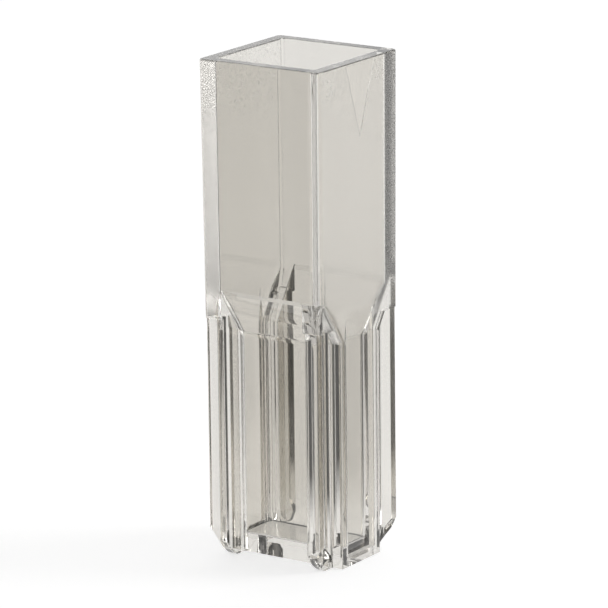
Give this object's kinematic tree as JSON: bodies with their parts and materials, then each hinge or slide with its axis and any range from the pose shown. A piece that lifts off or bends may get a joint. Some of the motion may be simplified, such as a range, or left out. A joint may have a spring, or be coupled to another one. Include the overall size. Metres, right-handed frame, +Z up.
{
  "type": "semi-micro cuvette",
  "caption": "Clear semi-micro cuvette with a square open mouth, slanted shoulders, a narrow chamber between recessed windows, and corner posts that fit a square holder.",
  "frame": {"origin": "centre of the base's underside, which the cuvette stands on", "axes": "+Z up to the open mouth, X along the light path through the windows, Y across the chamber's narrow side"},
  "size_m": [0.0124, 0.0124, 0.045],
  "materials": {
    "clear_plastic": "clear and polished, with a fine matte grain on the upper faces across the light path"
  },
  "bodies": {
    "root": {"cuvette": "clear_plastic"}
  },
  "joints": []
}
